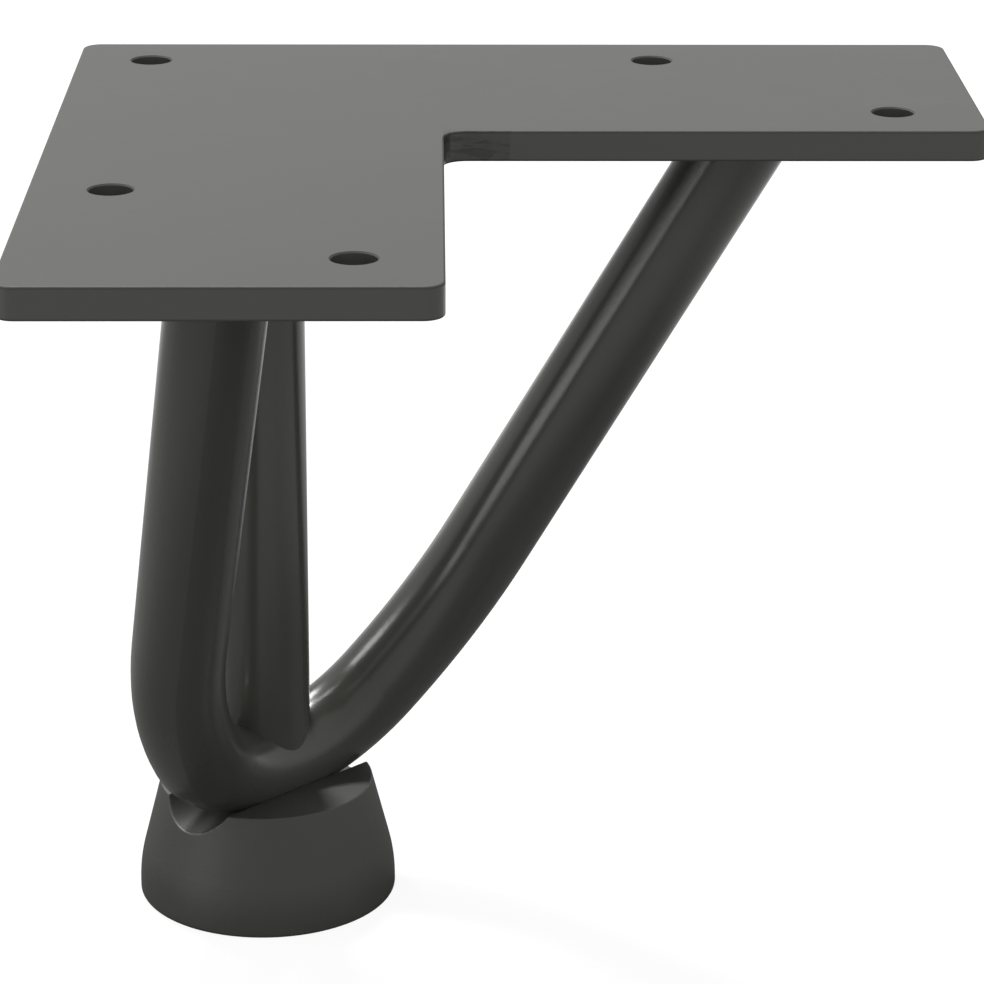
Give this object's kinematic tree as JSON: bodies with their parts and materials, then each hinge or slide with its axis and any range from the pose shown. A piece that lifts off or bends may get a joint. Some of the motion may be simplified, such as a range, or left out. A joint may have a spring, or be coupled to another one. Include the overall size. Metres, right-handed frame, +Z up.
{
  "type": "hairpin table leg",
  "caption": "Short hairpin table leg: bent round bar and upright bar welded under an angled screw plate, standing on a grooved round foot cap.",
  "frame": {"origin": "on the plate's top face, where the vertical axis of the upright bar and the foot cap meets it", "axes": "+Z up out of the plate's top face, towards the table top; +X along the plate's back arm and +Y towards its back edge, so the open notch of the plate is at +X -Y"},
  "size_m": [0.12, 0.12, 0.1175],
  "materials": {
    "plate_coat": "satin powder coat on steel plate",
    "bar_coat": "satin powder coat on round steel bar",
    "brace_coat": "satin powder coat on round steel bar",
    "cap": "matt moulded plastic",
    "weld_coat": "satin powder coat on weld beads"
  },
  "bodies": {
    "root": {"mounting_plate": "plate_coat", "hairpin_rod": "bar_coat", "brace_rod": "brace_coat", "foot_cap": "cap", "left_limb_weld": "weld_coat", "right_limb_weld": "weld_coat", "brace_top_weld": "weld_coat"}
  },
  "joints": []
}
